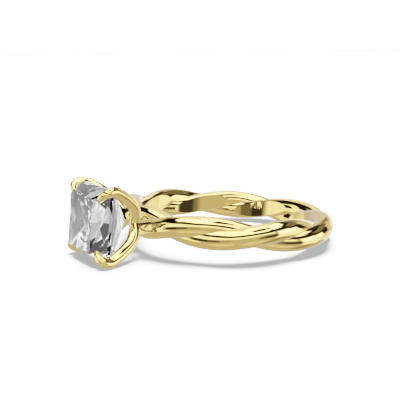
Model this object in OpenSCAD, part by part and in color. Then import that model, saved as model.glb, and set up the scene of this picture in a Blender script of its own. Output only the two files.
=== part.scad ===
// Twisted shank ring. Two round gold strands are twined right round the finger,
// and a four-claw head on them holds a square stone.
// The ring lies on its side: the finger's axis stands nearly upright, the head points to -X,
// and it rests on its two lower claws and the back of the shank.

/* [Finger hole] */
// Diameter of the finger hole, a plain round bore through the inner side of the strands
finger_d = 16.9; // [15:0.1:19]
// Depth to which that bore cuts the strands flat where they lie innermost
comfort_cut = 0.4; // [0.3:0.05:0.5]

/* [Twisted shank] */
// Diameter of each round strand
strand_d = 1.9; // [1.7:0.05:2.2]
// Swing of a strand's middle line, towards the finger and away from it
swing_in_out = 0.5; // [0.4:0.05:0.6]
// Swing of a strand's middle line along the finger
swing_side = 0.52; // [0.4:0.02:0.6]
// Half turns that the strands make round each other in one lap
half_turns = 8; // [6:2:10]
// Extra arc of each half turn away from the head, in degrees, made good behind the head
loose_arc = 1.4; // [0:0.1:3]
// Angle in the twist at which the strands pass the back of the ring
back_phase = 67; // [0:1:180]

/* [Stone] */
// Side of the square stone across the girdle
stone_w = 6.5; // [5:0.1:8]
// Side of its flat top, the table
table_w = 4.9; // [3.5:0.1:5.5]
// Height of the crown, from the girdle to the table
crown_h = 1.35; // [0.8:0.05:1.6]
// Thickness of the girdle
girdle_t = 0.28; // [0.15:0.01:0.4]
// Depth of the pavilion, from the girdle down to the point
pavilion_h = 2.75; // [2.2:0.05:3.4]
// Width of the small flat that cuts each corner of the girdle
corner_w = 0.5; // [0.3:0.05:0.9]
// Gap between the stone's point and the outermost reach of the strands
point_gap = 0.2; // [0.1:0.05:1]

/* [Claws] */
// Width of a claw arm, across its outer face
arm_w = 0.85; // [0.8:0.05:1.1]
// Thickness of a claw arm, from its inner to its outer face
arm_t = 1.05; // [0.9:0.05:1.2]
// Height of the claw tips above the girdle's upper edge
claw_rise = 0.8; // [0.8:0.05:1.3]
// Height of the roots' middle above the strands, less than half an arm, so that they join
root_rise = 0.3; // [0.1:0.05:0.4]
// Gap between the stone and its seat in the claws
seat_gap = 0.04; // [0.02:0.01:0.1]

/* [Hidden] */
$fn = 128;

// Twist of the strands, round the middle circle that both follow
strand_r = strand_d / 2;
ring_r = finger_d / 2 - comfort_cut + strand_r + swing_in_out;
half_turn_arc = 360 / half_turns + loose_arc;
// Angle from the back of the ring past which the twist makes good its loose arc
catch_up_from = 150;
// Sections round the ring, and flats round each section
stations = 120;
sides = 14;

// Levels of the head, out from the finger's middle
strand_top = ring_r + swing_in_out + strand_r;
point_z = strand_top + point_gap;
girdle_z = point_z + pavilion_h;
crown_z = girdle_z + girdle_t;
table_z = crown_z + crown_h;
root_z = ring_r + strand_r + root_rise;
tip_z = crown_z + claw_rise;

// Middle line of an arm from its root to its tip, as shares of the half stone and of the rise,
// then its width and thickness as shares of the arm's own, and how far its outer face is turned
// from across the ring towards the corner, in degrees
// across the ring, along the finger, rise from root to tip, width, thickness, turn
ARM = [
    [0.31, 0.00, -0.03, 1.05, 0.95, 28],
    [0.45, 0.25, 0.01, 1.02, 0.98, 34],
    [0.66, 0.53, 0.16, 1.00, 1.00, 40],
    [0.82, 0.785, 0.43, 1.00, 1.00, 45],
    [0.98, 0.955, 0.72, 1.00, 0.95, 45],
    [1.05, 0.925, 0.89, 0.90, 0.90, 45],
    [0.96, 0.82, 0.98, 0.75, 0.80, 45],
    [0.80, 0.67, 1.00, 0.45, 0.35, 45]
];
// Row from which the claw bends over the stone
bend_row = 4;
// Steps between the rows, flats round an arm, and how square its section is, 1 being an ellipse
arm_steps = 3;
arm_sides = 12;
arm_square = 0.55;

// Breaks in the crown and the pavilion, where their facets change slope
// share of the way in from the girdle's side, share of the height or depth
CROWN_BREAK = [0.38, 0.55];
PAVILION_BREAK = [0.38, 0.50];
// Width of the blunted point, as a share of the stone's
point_share = 0.04;

// Outlines of the stone from table to point: half side, level
half_stone = stone_w / 2;
half_table = table_w / 2;
STONE = [
    [half_table, table_z],
    [half_stone - (half_stone - half_table) * CROWN_BREAK[0], crown_z + crown_h * CROWN_BREAK[1]],
    [half_stone, crown_z],
    [half_stone, girdle_z],
    [half_stone * (1 - PAVILION_BREAK[0]), girdle_z - pavilion_h * PAVILION_BREAK[1]],
    [half_stone * point_share, point_z]
];

function unit(v) = v / norm(v);
function square_to(t, n) = unit(n - (n * t) * t);
function smooth(t) = t * t * (3 - 2 * t);

// Angle of a strand in the twist at angle a round the ring, a = 0 at the back
function phase(a, strand) =
    180 / half_turn_arc * a + back_phase + 180 * strand
    + sign(a) * 180 * (half_turns / 2 - 180 / half_turn_arc)
    * smooth(max(0, (abs(a) - catch_up_from) / (180 - catch_up_from)));

function strand_middle(a, strand) =
    let (r = ring_r + swing_in_out * cos(phase(a, strand)))
    [r * cos(a), r * sin(a), swing_side * sin(phase(a, strand))];

// Ring of points round a middle point, square to the way t, first across n
function section(middle, t, n, half_n, half_b, count, power) =
    let (n1 = square_to(t, n), b1 = cross(t, n1))
    [for (i = [0:count - 1])
        let (c = cos(360 * i / count), s = sin(360 * i / count))
        middle + half_n * sign(c) * pow(abs(c), power) * n1
               + half_b * sign(s) * pow(abs(s), power) * b1];

function strand_rings(strand) =
    [for (i = [0:stations - 1])
        let (a = 360 * i / stations - 180,
             t = unit(strand_middle(a + 0.1, strand) - strand_middle(a - 0.1, strand)))
        section(strand_middle(a, strand), t, [cos(a), sin(a), 0], strand_r, strand_r, sides, 1)];

// Skin over rings of points: joined end to end if closed, capped if open
module skin(rings, closed) {
    n = len(rings);
    k = len(rings[0]);
    last = closed ? n - 1 : n - 2;
    walls = [for (i = [0:last], j = [0:k - 1], half = [0, 1])
        let (i2 = (i + 1) % n, j2 = (j + 1) % k)
        half == 0 ? [i * k + j, i2 * k + j, i2 * k + j2] : [i * k + j, i2 * k + j2, i * k + j2]];
    caps = closed ? [] : [[for (j = [0:k - 1]) j], [for (j = [k - 1:-1:0]) (n - 1) * k + j]];
    polyhedron([for (ring = rings) each ring], concat(walls, caps));
}

// Smooth curve through the rows of a table
function between(p0, p1, p2, p3, t) =
    0.5 * (2 * p1 + (p2 - p0) * t + (2 * p0 - 5 * p1 + 4 * p2 - p3) * t * t
           + (3 * p1 - p0 - 3 * p2 + p3) * t * t * t);
function row_at(rows, i, t) =
    let (n = len(rows) - 1)
    between(rows[max(i - 1, 0)], rows[i], rows[min(i + 1, n)], rows[min(i + 2, n)], t);
arm_rows = [
    for (i = [0:len(ARM) - 2], s = [0:arm_steps - 1]) row_at(ARM, i, s / arm_steps),
    ARM[len(ARM) - 1]
];
function arm_place(row) =
    [row[0] * half_stone, row[1] * half_stone, root_z + row[2] * (tip_z - root_z)];
arm_line = [for (row = arm_rows) arm_place(row)];

function arm_way(i) = unit(arm_line[min(i + 1, len(arm_line) - 1)] - arm_line[max(i - 1, 0)]);

// Half of an arm, from the fold at its root to one tip. Its outer face is turned as its rows say,
// and is carried round the bend without a twist
function arm_face(i) = [cos(arm_rows[i][5]), sin(arm_rows[i][5]), 0];
arm_half = [
    for (i = 0, n = arm_face(0); i < len(arm_line);
         n = i < bend_row * arm_steps ? arm_face(i + 1) : square_to(arm_way(i), n), i = i + 1)
        section(arm_line[i], arm_way(i), n, arm_rows[i][4] * arm_t / 2, arm_rows[i][3] * arm_w / 2,
                arm_sides, arm_square)
];
// The two halves meet in a mitre at the fold
fold = [for (p = arm_half[0]) p - p[1] / arm_way(0)[1] * arm_way(0)];
function flip_y(ring) = [for (p = ring) [p[0], -p[1], p[2]]];
arm_above = [for (i = [1:len(arm_half) - 1]) arm_half[i]];
arm_rings = concat([for (i = [len(arm_above) - 1:-1:0]) flip_y(arm_above[i])], [fold], arm_above);

// Square with cut corners
function cut_square(half, corner, z) =
    [for (q = [0:3], s = [1, 0])
        let (p = s == 1 ? [half, half - corner] : [half - corner, half], a = 90 * q)
        [p[0] * cos(a) - p[1] * sin(a), p[0] * sin(a) + p[1] * cos(a), z]];

module ring_strand(strand) skin(strand_rings(strand), true);

// The head stands in its own frame: x across the ring, y along the finger, z out from its middle
module claw_arm() skin(arm_rings, false);

module gem(grow) {
    rings = [for (row = STONE)
        cut_square(row[0] + grow, (row[0] + grow) * corner_w / sqrt(2) / half_stone, row[1])];
    skin([for (i = [len(rings) - 1:-1:0]) rings[i]], false);
}

// Turns the head's frame into the ring's, with the head towards -X
module out_to_head() rotate([90, 0, -90]) children();
function to_ring(p) = [-p[2], -p[0], p[1]];

// How the ring rests: tipped until its lower claws and the back of the shank touch the surface
shank_points = [for (s = [0, 1], ring = strand_rings(s)) each ring];
claw_points = [for (ring = arm_rings, p = ring, side = [1, -1]) to_ring([side * p[0], p[1], p[2]])];
table_points = [for (x = [-half_table, half_table], y = [-half_table, half_table])
    to_ring([x, y, table_z])];
function lowest(points) =
    let (z = min([for (p = points) p[2]]))
    [for (p = points) if (p[2] == z) p][0];
low_claw = lowest(claw_points);
rest_tilt = min([for (p = shank_points) if (p[0] > 0) atan2(p[2] - low_claw[2], p[0] - low_claw[0])]);
function tipped(p) =
    [p[0] * cos(rest_tilt) + p[2] * sin(rest_tilt), p[1], p[2] * cos(rest_tilt) - p[0] * sin(rest_tilt)];
all_points = [for (p = concat(shank_points, claw_points, table_points)) tipped(p)];
far_corner = [for (i = [0:2]) max([for (p = all_points) p[i]])];
near_corner = [for (i = [0:2]) min([for (p = all_points) p[i]])];
rest_point = [(far_corner[0] + near_corner[0]) / 2, (far_corner[1] + near_corner[1]) / 2, near_corner[2]];

module laid_down() translate(-rest_point) rotate([0, rest_tilt, 0]) children();

module shank_and_claws() {
    color("gold") laid_down() difference() {
        // A resize with no sizes given changes none: it joins the metal into one skin for the bore
        resize([0, 0, 0]) difference() {
            union() {
                ring_strand(0);
                ring_strand(1);
                out_to_head() {
                    claw_arm();
                    mirror([1, 0, 0]) claw_arm();
                }
            }
            out_to_head() gem(seat_gap);
        }
        cylinder(r = finger_d / 2, h = 4 * strand_d + 4 * swing_side, center = true);
    }
}

module stone() {
    color("white") laid_down() out_to_head() gem(0);
}

shank_and_claws();
stone();
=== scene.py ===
import math

import bpy
import bmesh
import numpy as np
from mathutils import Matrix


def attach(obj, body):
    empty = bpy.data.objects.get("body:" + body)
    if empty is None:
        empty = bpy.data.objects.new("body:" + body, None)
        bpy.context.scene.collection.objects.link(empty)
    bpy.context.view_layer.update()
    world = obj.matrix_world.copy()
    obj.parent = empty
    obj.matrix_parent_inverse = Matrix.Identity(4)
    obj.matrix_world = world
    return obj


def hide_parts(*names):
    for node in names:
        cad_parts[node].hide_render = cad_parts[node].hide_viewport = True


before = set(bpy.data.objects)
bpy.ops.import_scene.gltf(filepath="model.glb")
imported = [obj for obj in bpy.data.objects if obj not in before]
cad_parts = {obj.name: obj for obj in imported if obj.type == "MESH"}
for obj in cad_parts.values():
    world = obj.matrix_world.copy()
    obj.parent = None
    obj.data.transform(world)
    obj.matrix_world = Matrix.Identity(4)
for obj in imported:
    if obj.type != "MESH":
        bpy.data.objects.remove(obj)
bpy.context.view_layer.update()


# ---- The two twined wires of the shank ------------------------------------------------------
# Two round wires of yellow gold, twined four full turns round the finger and soldered along
# their grooves. The finger hole is reamed through them, which leaves a flat where a wire lies
# innermost, and the whole shank is polished bright.

wire_radius = 0.95                                     # millimetres, as everywhere below
hole_radius = 8.45
twine_radius = 9.5
swing_in_out, swing_along = 0.5, 0.52
half_turns, half_turn_arc = 8, 360 / 8 + 1.4           # degrees of lap for each half turn
back_phase, catch_up_from = 67, 150
wire_stations, wire_facets, flat_facets = 900, 64, 8
flat_search, flat_looks = 1.2, 241                     # radians either side of the wire's inside
flat_widest, flat_halvings = 1.3, 40                   # radians from its middle to past its edge

rest_lean = math.radians(5.29781)                      # how far the ring tips as it rests
rest_spot = np.array([-2.47208, 0.0607511, -2.34631])  # where it touches down, under its middle


def unit(v):
    return v / np.linalg.norm(v, axis=-1, keepdims=True)


def lean(v):
    """Turn directions from the upright finger hole to the ring as it rests."""
    c, s = math.cos(rest_lean), math.sin(rest_lean)
    return np.stack([v[..., 0] * c + v[..., 2] * s, v[..., 1], v[..., 2] * c - v[..., 0] * s], -1)


def lay_down(points):
    """Points in millimetres about the finger hole, to metres on the floor."""
    return (lean(points) - rest_spot) / 1000


def twine_phase(turn, wire):
    late = np.clip((np.abs(turn) - catch_up_from) / (180 - catch_up_from), 0, 1)
    made_good = np.sign(turn) * 180 * (half_turns / 2 - 180 / half_turn_arc)
    return np.radians(180 / half_turn_arc * turn + back_phase + 180 * wire
                      + made_good * late * late * (3 - 2 * late))


def wire_middle(turn, wire):
    phase, around = twine_phase(turn, wire), np.radians(turn)
    r = twine_radius + swing_in_out * np.cos(phase)
    return np.stack([r * np.cos(around), r * np.sin(around), swing_along * np.sin(phase)], -1)


def wire_rings(wire):
    """Rings of points and normals round a wire, and which of their sides lie in the hole."""
    turn = np.arange(wire_stations) * 360 / wire_stations - 180
    middle = wire_middle(turn, wire)
    along = unit(wire_middle(turn + 0.05, wire) - wire_middle(turn - 0.05, wire))
    out = np.stack([np.cos(np.radians(turn)), np.sin(np.radians(turn)), 0 * turn], -1)
    out = unit(out - (out * along).sum(-1, keepdims=True) * along)
    up = np.cross(along, out)

    def round_wire(angle):
        way = np.cos(angle)[..., None] * out[:, None] + np.sin(angle)[..., None] * up[:, None]
        return middle[:, None] + wire_radius * way, way

    def room(angle):
        spot = round_wire(angle)[0]
        return np.hypot(spot[..., 0], spot[..., 1]) - hole_radius

    # the reamed flat runs between the two angles at which the wire's side meets the hole
    sweep = np.linspace(math.pi - flat_search, math.pi + flat_search, flat_looks)
    sweep = sweep + 0 * turn[:, None]
    inmost = sweep[np.arange(len(turn)), room(sweep).argmin(1)]
    cut = room(inmost[:, None])[:, 0] < 0
    edges = []
    for side in (-1, 1):
        inside, outside = inmost.copy(), inmost + side * flat_widest
        for _ in range(flat_halvings):
            half = (inside + outside) / 2
            below = room(half[:, None])[:, 0] < 0
            inside, outside = np.where(below, half, inside), np.where(below, outside, half)
        edges.append(np.where(cut, inside, inmost))
    first, last = edges
    share = np.linspace(0, 1, wire_facets + 1)
    rounds, ways = round_wire(last[:, None] * (1 - share) + (first[:, None] + 2 * math.pi) * share)
    share = np.linspace(0, 1, flat_facets + 1)[1:-1, None]
    flats = rounds[:, -1:] * (1 - share) + rounds[:, :1] * share
    reach = np.hypot(flats[..., 0], flats[..., 1])[..., None]
    flats[..., :2] *= hole_radius / reach
    return np.concatenate([rounds, flats], 1), ways, cut


def twined_wire(name, wire, metal):
    rings, ways, cut = wire_rings(wire)
    stations, count = rings.shape[:2]
    inward = -unit(rings * [1, 1, 0])
    faces, normals = [], []
    for i in range(stations):
        n = (i + 1) % stations
        for k in range(count):
            m = (k + 1) % count
            flat = k >= wire_facets
            face, way = [], []
            for s, q in ((i, k), (i, m), (n, m), (n, k)):
                spot = s * count + (q if cut[s] or q < wire_facets else 0)
                if spot not in face:
                    face.append(spot)
                    way.append(inward[s, q] if flat else ways[s, q])
            if len(face) > 2:
                faces.append(face)
                normals.extend(way)
    mesh = bpy.data.meshes.new(name)
    mesh.from_pydata(lay_down(rings).reshape(-1, 3).tolist(), [], faces)
    mesh.polygons.foreach_set("use_smooth", [True] * len(mesh.polygons))
    mesh.normals_split_custom_set(lean(np.array(normals)).tolist())
    mesh.materials.append(metal)
    piece = bpy.data.objects.new(name, mesh)
    bpy.context.collection.objects.link(piece)
    return piece


gold_tints = (0.95, 0.64, 0.19, 1), (0.97, 0.67, 0.22, 1)
gold_roughness = 0.01, 0.05                            # where the wheel ran last, and elsewhere
cloud_scale, haze_scale, hairline_scale = 260, 900, 5200
hairline_strength, hairline_depth = 0.02, 0.00002      # share; metres


def polished_gold():
    """Yellow gold off the buffing wheel: bright, with a faint haze and hairline wear."""
    gold = bpy.data.materials.new("polished_gold")
    gold.use_nodes = True
    nodes, links = gold.node_tree.nodes, gold.node_tree.links
    shader = nodes["Principled BSDF"]
    shader.inputs["Metallic"].default_value = 1.0
    place = nodes.new("ShaderNodeTexCoord")

    cloud = nodes.new("ShaderNodeTexNoise")            # the alloy's slow drift of colour
    cloud.inputs["Scale"].default_value = cloud_scale
    cloud.inputs["Detail"].default_value = 3
    tint = nodes.new("ShaderNodeMix")
    tint.data_type = "RGBA"
    tint.inputs["A"].default_value = gold_tints[0]
    tint.inputs["B"].default_value = gold_tints[1]
    links.new(place.outputs["Object"], cloud.inputs["Vector"])
    links.new(cloud.outputs["Fac"], tint.inputs["Factor"])
    links.new(tint.outputs["Result"], shader.inputs["Base Color"])

    haze = nodes.new("ShaderNodeTexNoise")             # patches that the wheel left less bright
    haze.inputs["Scale"].default_value = haze_scale
    haze.inputs["Detail"].default_value = 4
    rough = nodes.new("ShaderNodeMapRange")
    rough.inputs["To Min"].default_value = gold_roughness[0]
    rough.inputs["To Max"].default_value = gold_roughness[1]
    links.new(place.outputs["Object"], haze.inputs["Vector"])
    links.new(haze.outputs["Fac"], rough.inputs["Value"])
    links.new(rough.outputs["Result"], shader.inputs["Roughness"])

    hairlines = nodes.new("ShaderNodeTexNoise")        # hairline scratches of wear
    hairlines.inputs["Scale"].default_value = hairline_scale
    hairlines.inputs["Detail"].default_value = 2
    dents = nodes.new("ShaderNodeBump")
    dents.inputs["Strength"].default_value = hairline_strength
    dents.inputs["Distance"].default_value = hairline_depth
    links.new(place.outputs["Object"], hairlines.inputs["Vector"])
    links.new(hairlines.outputs["Fac"], dents.inputs["Height"])
    links.new(dents.outputs["Normal"], shader.inputs["Normal"])
    return gold


gold = polished_gold()
for wire in (0, 1):
    piece = twined_wire(f"twined_wire_{wire + 1}", wire, gold)
    # kept out of the other pieces' mirrored light: the gold shows the studio and the stone
    piece.visible_glossy = piece.visible_transmission = piece.visible_diffuse = False
    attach(piece, "root")
    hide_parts("shank_and_claws")


# ---- The square stone -----------------------------------------------------------------------
# One square brilliant with cut corners: a wide flat table, a crown of star and corner facets,
# a thin girdle, and a pavilion of chevrons that fan from the corners down to the point. It is
# clear as water and held by its corners alone.

half_stone, half_table, corner_flat = 3.25, 2.45, 0.5
point_level, girdle_level, crown_level, table_level = 11.15, 13.9, 14.18, 15.53
star_inset, star_rise = 0.26, 0.55                     # in from the girdle; share of the crown
pavilion_rows = [
    # whether the row's points lie at the sides' middles; share of the reach; share of the depth
    (True, 0.66, 0.47), (False, 0.545, 0.50), (True, 0.36, 0.745), (False, 0.03, 1.0)
]
same_facet = math.radians(0.05)                        # faces that turn less are one facet
stone_bend = 2.417                                     # how strongly the stone bends light


def from_head(points):
    """Head's frame, x across the ring, y along the finger, z out, to the ring's."""
    points = np.asarray(points, float)
    return np.stack([-points[..., 2], -points[..., 0], points[..., 1]], -1)


def cut_square(half, corner, level):
    spots = []
    for q in range(4):
        c, s = round(math.cos(q * math.pi / 2)), round(math.sin(q * math.pi / 2))
        for x, y in ((half, half - corner), (half - corner, half)):
            spots.append((x * c - y * s, x * s + y * c, level))
    return spots


def four_mids(reach, level):
    return [(reach, 0, level), (0, reach, level), (-reach, 0, level), (0, -reach, level)]


def brilliant_points():
    corner = corner_flat / math.sqrt(2)
    crown, pavilion = table_level - crown_level, girdle_level - point_level
    points = cut_square(half_table, corner * half_table / half_stone, table_level)
    points += four_mids(half_stone - star_inset, crown_level + crown * star_rise)
    points += cut_square(half_stone, corner, crown_level)
    points += cut_square(half_stone, corner, girdle_level)
    for at_mids, reach, depth in pavilion_rows:
        level = girdle_level - pavilion * depth
        if at_mids:
            points += four_mids(half_stone * reach, level)
        else:
            points += cut_square(half_stone * reach, corner * reach, level)
    return np.array(points)


def cut_stone(name, points):
    shape = bmesh.new()
    for p in lay_down(from_head(points)):
        shape.verts.new(p)
    hull = bmesh.ops.convex_hull(shape, input=shape.verts)
    bmesh.ops.delete(shape, geom=list({v for v in hull["geom_interior"] + hull["geom_unused"]
                                       if isinstance(v, bmesh.types.BMVert)}), context="VERTS")
    bmesh.ops.dissolve_limit(shape, angle_limit=same_facet, verts=shape.verts,
                             edges=shape.edges)
    mesh = bpy.data.meshes.new(name)
    shape.to_mesh(mesh)
    shape.free()
    piece = bpy.data.objects.new(name, mesh)
    bpy.context.collection.objects.link(piece)
    return piece


def clear_stone():
    """Colourless stone that bends light strongly, with facets polished flat."""
    clear = bpy.data.materials.new("clear_stone")
    clear.use_nodes = True
    nodes, links = clear.node_tree.nodes, clear.node_tree.links
    shader = nodes["Principled BSDF"]
    shader.inputs["Base Color"].default_value = (1, 1, 1, 1)
    shader.inputs["Transmission Weight"].default_value = 1.0
    shader.inputs["IOR"].default_value = stone_bend
    shader.inputs["Roughness"].default_value = 0.0
    return clear


stone = cut_stone("square_stone", brilliant_points())
stone.data.materials.append(clear_stone())
stone.visible_diffuse = False                          # it throws no light on the white card
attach(stone, "root")
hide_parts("stone")


# ---- The four claws -------------------------------------------------------------------------
# Two bent gold arms, one on each side of the head, each ending in two claws. They spring from
# a sharp fold on top of the twined wires, stand out round the stone's sides, and their tips
# are bent over its corners. The seats are cut to the stone, then the arms are polished.

arm_width, arm_thick = 0.85, 1.05
root_level, tip_level = 10.75, 14.98
arm_rows = np.array([
    # across the ring, along the finger, rise, width, thickness, outer face's turn to the corner
    (0.31, 0.00, -0.03, 1.05, 0.95, 28), (0.45, 0.25, 0.01, 1.02, 0.98, 34),
    (0.66, 0.53, 0.16, 1.00, 1.00, 40), (0.82, 0.785, 0.43, 1.00, 1.00, 45),
    (0.98, 0.955, 0.72, 1.00, 0.95, 45), (1.05, 0.925, 0.89, 0.90, 0.90, 45),
    (0.96, 0.82, 0.98, 0.75, 0.80, 45), (0.80, 0.67, 1.00, 0.45, 0.35, 45)])
bend_row = 4                                           # from here on the claw bends over
arm_steps, arm_facets = 14, 64
arm_square = 0.80                                      # 1 for a round section, 0 for a square one
tip_bends, tip_round = (25, 45, 62, 76, 86), 0.16      # degrees, for its rings; millimetres
seat_growth, sharp_edge = 1.008, 22                    # of the stone's size; degrees


def through_rows(rows, steps):
    """Smooth curve through every row of a table."""
    last, curve = len(rows) - 1, []
    for i in range(last):
        p0, p1, p2, p3 = rows[max(i - 1, 0)], rows[i], rows[i + 1], rows[min(i + 2, last)]
        for t in np.arange(steps) / steps:
            curve.append(0.5 * (2 * p1 + (p2 - p0) * t + (2 * p0 - 5 * p1 + 4 * p2 - p3) * t ** 2
                                + (3 * p1 - p0 - 3 * p2 + p3) * t ** 3))
    return np.array(curve + [rows[last]])


def claw_rings():
    """Rings round half an arm, from the fold at its root to the rounded tip of its claw."""
    rows = through_rows(arm_rows, arm_steps)
    line = rows[:, :3] * [half_stone, half_stone, tip_level - root_level] + [0, 0, root_level]
    way = unit(np.gradient(line, axis=0))
    rings = []
    angle = np.arange(arm_facets) * 2 * math.pi / arm_facets
    c, s = np.cos(angle)[:, None], np.sin(angle)[:, None]
    c, s = np.sign(c) * np.abs(c) ** arm_square, np.sign(s) * np.abs(s) ** arm_square
    for i, (place, t, row) in enumerate(zip(line, way, rows)):
        if i <= bend_row * arm_steps:
            out = np.array((math.cos(math.radians(row[5])), math.sin(math.radians(row[5])), 0))
        out = unit(out - (out @ t) * t)
        ring = c * row[4] * arm_thick / 2 * out + s * row[3] * arm_width / 2 * np.cross(t, out)
        rings.append(place + ring)
    rings[0] = rings[0] - rings[0][:, 1:2] / way[0][1] * way[0]     # mitred at the fold
    for bend in np.radians(tip_bends):                 # the tip's rounded end
        rings.append(place + ring * math.cos(bend) + t * tip_round * math.sin(bend))
    return np.array(rings)


def claw_arm(name, side, metal):
    half = claw_rings()
    rings = np.concatenate([(half * [1, -1, 1])[:0:-1], half])
    rings[..., 0] *= side
    count, around = rings.shape[:2]
    faces = []
    for i in range(count - 1):
        for k in range(around):
            m = (k + 1) % around
            face = [i * around + k, (i + 1) * around + k, (i + 1) * around + m, i * around + m]
            faces.append(face if side > 0 else face[::-1])
    ends = [list(range(around)), list(range((count - 1) * around, count * around))[::-1]]
    faces += ends if side > 0 else [end[::-1] for end in ends]
    mesh = bpy.data.meshes.new(name)
    mesh.from_pydata(lay_down(from_head(rings)).reshape(-1, 3).tolist(), [], faces)
    mesh.materials.append(metal)
    piece = bpy.data.objects.new(name, mesh)
    bpy.context.collection.objects.link(piece)
    return piece


def cut_seats(arm, cutter):
    cut = arm.modifiers.new("seats", "BOOLEAN")
    cut.operation, cut.solver, cut.object = "DIFFERENCE", "EXACT", cutter
    seen = bpy.context.evaluated_depsgraph_get()
    mesh = bpy.data.meshes.new_from_object(arm.evaluated_get(seen))
    arm.modifiers.clear()
    old, arm.data = arm.data, mesh
    bpy.data.meshes.remove(old)
    mesh.name = arm.name
    mesh.polygons.foreach_set("use_smooth", [True] * len(mesh.polygons))
    mesh.set_sharp_from_angle(angle=math.radians(sharp_edge))


middle = np.array([0, 0, (girdle_level + crown_level) / 2])
seat_tool = cut_stone("seat_tool", (brilliant_points() - middle) * seat_growth + middle)
for side, name in ((1, "claw_arm_near"), (-1, "claw_arm_far")):
    arm = claw_arm(name, side, gold)
    # kept out of the other pieces' mirrored light, as the wires are
    arm.visible_glossy = arm.visible_transmission = arm.visible_diffuse = False
    cut_seats(arm, seat_tool)
    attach(arm, "root")
    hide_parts("shank_and_claws")
bpy.data.objects.remove(seat_tool)


# ---- White card -----------------------------------------------------------------------------
# A plain white card that the ring lies on, and past its end a second one, lit until it shows
# as white as the first. Neither of them shows in the gold or through the stone.

card_reach, backdrop_reach, backdrop_foot, backdrop_top = 3, 6, -1, 3          # metres
card_grey, card_rough, backdrop_glow = 0.25, 0.9, 3.2

floor_mesh = bpy.data.meshes.new("floor")
floor_mesh.from_pydata([(x * card_reach, y * card_reach, 0)
                        for x, y in ((-1, -1), (1, -1), (1, 1), (-1, 1))], [], [(0, 1, 2, 3)])
floor = bpy.data.objects.new("floor", floor_mesh)
card = bpy.data.materials.new("white_card")
card.use_nodes = True
card_shader = card.node_tree.nodes["Principled BSDF"]
card_shader.inputs["Base Color"].default_value = (card_grey, card_grey, card_grey, 1)
card_shader.inputs["Roughness"].default_value = card_rough
floor_mesh.materials.append(card)

backdrop_mesh = bpy.data.meshes.new("backdrop")        # two walls, behind the ring and beside it
backdrop_plan = ((-backdrop_reach, card_reach), (card_reach, card_reach),
                 (card_reach, -backdrop_reach))
backdrop_mesh.from_pydata([(x, y, z) for z in (backdrop_foot, backdrop_top)
                           for x, y in backdrop_plan], [], [(0, 1, 4, 3), (1, 2, 5, 4)])
backdrop = bpy.data.objects.new("backdrop", backdrop_mesh)
lit_card = bpy.data.materials.new("lit_card")
lit_card.use_nodes = True
lit_shader = lit_card.node_tree.nodes["Principled BSDF"]
lit_shader.inputs["Emission Color"].default_value = (1, 1, 1, 1)
lit_shader.inputs["Emission Strength"].default_value = backdrop_glow
backdrop_mesh.materials.append(lit_card)
backdrop.visible_diffuse = False                       # it lights nothing

for white_card in (floor, backdrop):
    bpy.context.collection.objects.link(white_card)
    white_card.visible_glossy = white_card.visible_transmission = False


# ---- Studio light ---------------------------------------------------------------------------
# A white tent over the ring, open to the dimmer room at camera height, with bright windows to
# both sides. A dark hem runs round the tent, and it and the window frames draw the thin dark
# lines in the gold.

near_side = (-0.5153, -0.8570)                         # the way the ring's near side faces
facing = math.atan2(near_side[1], near_side[0])


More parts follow.
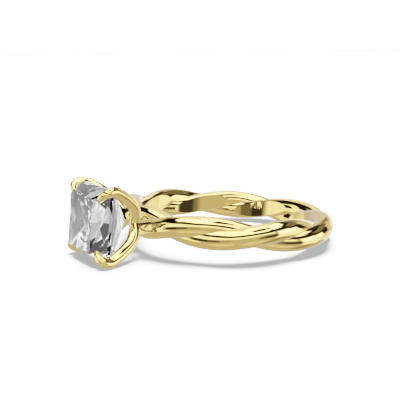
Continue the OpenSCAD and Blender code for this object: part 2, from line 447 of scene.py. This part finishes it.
class StudioSky:
    """Light by direction, in degrees to the right of the facing side and degrees up."""

    def __init__(self, room):
        self.world = bpy.data.worlds.new("studio")
        self.world.use_nodes = True
        self.nodes, self.links = self.world.node_tree.nodes, self.world.node_tree.links
        way = self.nodes.new("ShaderNodeTexCoord")
        turned = self.nodes.new("ShaderNodeVectorRotate")
        turned.rotation_type = "Z_AXIS"
        turned.inputs["Angle"].default_value = -facing
        parts = self.nodes.new("ShaderNodeSeparateXYZ")
        self.links.new(way.outputs["Generated"], turned.inputs["Vector"])
        self.links.new(turned.outputs["Vector"], parts.inputs["Vector"])
        x, y, z = parts.outputs
        self.right = self.work_out("MULTIPLY", self.work_out("ARCTAN2", y, x), 180 / math.pi)
        self.up = self.work_out("MULTIPLY", self.work_out("ARCSINE", z, 0), 180 / math.pi)
        self.light = room

    def feed(self, value, socket):
        if isinstance(value, (int, float)):
            socket.default_value = value
        else:
            self.links.new(value, socket)

    def work_out(self, kind, a, b):
        node = self.nodes.new("ShaderNodeMath")
        node.operation = kind
        self.feed(a, node.inputs[0])
        self.feed(b, node.inputs[1])
        return node.outputs[0]

    def edge(self, value, start, end):
        node = self.nodes.new("ShaderNodeMapRange")
        node.interpolation_type = "SMOOTHSTEP"
        node.inputs["From Min"].default_value = start
        node.inputs["From Max"].default_value = end
        self.links.new(value, node.inputs["Value"])
        return node.outputs["Result"]

    def lay(self, mask, glow):
        """Put light of one brightness over what is there, where the mask lets it."""
        step = self.nodes.new("ShaderNodeMapRange")
        self.links.new(mask, step.inputs["Value"])
        self.feed(self.light, step.inputs["To Min"])
        self.feed(glow, step.inputs["To Max"])
        self.light = step.outputs["Result"]

    def panel(self, left_edge, right_edge, low, high, soft, glow):
        mask = None
        for value, start, end in ((self.right, left_edge, right_edge), (self.up, low, high)):
            for at, sign in ((start, 1), (end, -1)):
                if abs(at) >= 180 or (value is self.up and abs(at) >= 90):
                    continue
                side = self.edge(value, at - sign * soft / 2, at + sign * soft / 2)
                mask = side if mask is None else self.work_out("MULTIPLY", mask, side)
        self.lay(mask, glow)

    def above(self, line):
        """Degrees above a line drawn through points round the studio."""
        share = self.work_out("ADD", self.work_out("DIVIDE", self.right, 360), 0.5)
        node = self.nodes.new("ShaderNodeFloatCurve")
        curve = node.mapping.curves[0]
        curve.points[0].location = (0, line[0][1] / 90)
        curve.points[1].location = (1, line[-1][1] / 90)
        for right, up in line[1:-1]:
            curve.points.new(right / 360 + 0.5, up / 90)
        for point in curve.points:
            point.handle_type = "VECTOR"
        node.mapping.update()
        self.links.new(share, node.inputs["Value"])
        return self.work_out("SUBTRACT", self.up, self.work_out("MULTIPLY", node.outputs[0], 90))

    def tent(self, hem, soft, glow):
        self.lay(self.edge(self.above(hem), -soft / 2, soft / 2), glow)

    def band(self, hem, left_edge, right_edge, width, soft, glow):
        """A dark tape along the hem, between two edges."""
        off = self.work_out("ABSOLUTE", self.above(hem), 0)
        mask = self.edge(off, width / 2 + soft / 2, width / 2 - soft / 2)
        for at, sign in ((left_edge, 1), (right_edge, -1)):
            side = self.edge(self.right, at - sign, at + sign)
            mask = self.work_out("MULTIPLY", mask, side)
        self.lay(mask, glow)

    def finish(self):
        ground = self.nodes["Background"]
        self.links.new(self.light, ground.inputs["Strength"])
        ground.inputs["Color"].default_value = (1, 1, 1, 1)
        bpy.context.scene.world = self.world


room_panels = [
    # from and to, degrees to the right; from and to, degrees up; softness; brightness
    (-180, -128, -5, 44, 8, 0.72),
    (-140, -84, -32, -6, 8, 1.3),
    (-112, -60, -8, 44, 8, 1.7),
    (-88, -52, -30, 0, 6, 1.6),
    (-62, 60, 9, 60, 4, 1.9),
    (-62, -8, -18, 10, 8, 0.45),
    (-57, -24, -15, 8, 5, 0.14),
    (-56, -40, -13, 7, 4, 0.03),
    (36, 70, -24, 3, 8, 0.2),
    (44, 66, -17, -3, 6, 0.04),
    (66, 108, -6, 20, 5, 3),
    (69, 108, -32, -6, 6, 1.8),
    (108, 170, -27, -8, 6, 1.3),
    (126, 180, -8, 30, 8, 0.8),
    (138, 172, -6, 8, 6, 1.9),
    (78, 108, -62, -35, 12, 0.3),
    (20, 64, -62, -38, 12, 0.9),
    (-44, -2, -58, -34, 10, 0.9),
]
hem = [
    # degrees to the right, degrees up
    (-180, 30), (-165, 38), (-150, 50), (-117, 54), (-86, 53), (-69, 50), (-51, 49),
    (-41, 48), (-27, 43), (-12, 37), (3, 36), (18, 35), (34, 34), (54, 31), (68, 38),
    (100, 44), (140, 46), (165, 38), (180, 30)
]
tent_panels = [
    # as the room's panels, laid over the tent
    (-180, -158, 36, 90, 10, 1.1),
    (158, 180, 36, 60, 10, 1.2),
]
hem_tapes = [
    # from and to, degrees to the right; width; softness; brightness
    (-160, -60, 17, 4, 0.005),
    (-60, 70, 19, 4, 0.005),
    (134, 167, 8, 3, 0.01),
]
frames = [
    # the dark bars, given as the panels are
    (132, 151, 33, 47, 5, 0.04),
    (-138, -112, -5, 30, 6, 0.01),
    (-122, -94, 22, 52, 5, 0.01),
    (60, 104, 25, 44, 5, 0.01),
    (96, 142, 41, 49, 4, 0.005),
    (100, 142, 28, 41, 6, 0.17),
    (90, 126, 17, 28, 5, 0.02),
    (105, 122, 2, 20, 5, 0.01),
    (30, 94, 58, 76, 6, 0.01),
    (-80, -69, 4, 38, 4, 0.01),
    (147, 163, 20, 36, 6, 0.25),
]
room_glow, tent_glow, hem_soft = 0.60, 3.0, 3
studio = StudioSky(room_glow)
for panel in room_panels:
    studio.panel(*panel)
studio.tent(hem, hem_soft, tent_glow)
for panel in tent_panels:
    studio.panel(*panel)
for tape in hem_tapes:
    studio.band(hem, *tape)
for frame_bar in frames:
    studio.panel(*frame_bar)
studio.finish()

# a broad soft light straight above lights the card and throws the ring's shadow on it
lamp = bpy.data.lights.new("overhead", "SUN")
lamp_width, lamp_power = 36, 36                        # degrees; watts to the square metre
lamp.angle, lamp.energy = math.radians(lamp_width), lamp_power
overhead = bpy.data.objects.new("overhead", lamp)
overhead.visible_glossy = overhead.visible_transmission = overhead.visible_camera = False
bpy.context.collection.objects.link(overhead)


# ---- Black cards for the stone --------------------------------------------------------------
# Small cards of black paper hung well away from the ring. They are seen through the stone
# alone, where they turn some of its facets dark.

stone_flags = [
    # degrees to the right, degrees up, half its width and half its height in degrees
    (165, -22, 15, 9), (-172, -12, 13, 7), (24, -9, 7, 8), (54, -10, 7, 7), (-38, 12, 6, 10),
    (6, 20, 8, 8), (-140, -3, 8, 5), (-28, -24, 6, 8), (121, -16, 13, 18), (166, -4, 10, 8)
]
flag_distance, flag_black = 2.5, 0.002                 # metres; share of the light given back

flag_mesh = bpy.data.meshes.new("stone_flags")
spots = []
for right, up, wide, high in stone_flags:
    for x, z in ((-wide, -high), (wide, -high), (wide, high), (-wide, high)):
        turn, rise = facing + math.radians(right + x), math.radians(up + z)
        spots.append((flag_distance * math.cos(turn) * math.cos(rise),
                      flag_distance * math.sin(turn) * math.cos(rise),
                      flag_distance * math.sin(rise)))
flag_mesh.from_pydata(spots, [], [[4 * i + k for k in range(4)] for i in range(len(stone_flags))])
black_card = bpy.data.materials.new("black_card")
black_card.use_nodes = True
black_shader = black_card.node_tree.nodes["Principled BSDF"]
black_shader.inputs["Base Color"].default_value = (flag_black, flag_black, flag_black, 1)
black_shader.inputs["Specular IOR Level"].default_value = 0
flag_mesh.materials.append(black_card)
flags = bpy.data.objects.new("stone_flags", flag_mesh)
flags.visible_camera = flags.visible_glossy = flags.visible_diffuse = flags.visible_shadow = False
bpy.context.collection.objects.link(flags)


# ---- Camera ---------------------------------------------------------------------------------
# Low and close in front of the ring's side, with the head to the left.

view = bpy.data.cameras.new("camera")
view.lens, view.sensor_width, view.clip_start = 70.822, 36, 0.001
camera = bpy.data.objects.new("camera", view)
camera.location = (-0.0391734, -0.0644614, 0.0189644)
camera.rotation_euler = [math.radians(a) for a in (79.0298, 0.48861, -31.1155)]
bpy.context.collection.objects.link(camera)
bpy.context.scene.camera = camera

# the film: bright in the middle tones, then easing off towards white
film_white = 3
film_steps = (0.2, 0.58), (0.333, 0.76), (0.5, 0.87), (0.7, 0.94)
film = bpy.context.scene.view_settings
film.view_transform = "Standard"
film.use_curve_mapping = True
film.curve_mapping.white_level = (film_white, film_white, film_white)
tone = film.curve_mapping.curves[3]
for light, shown in film_steps:
    tone.points.new(light, shown)
film.curve_mapping.update()
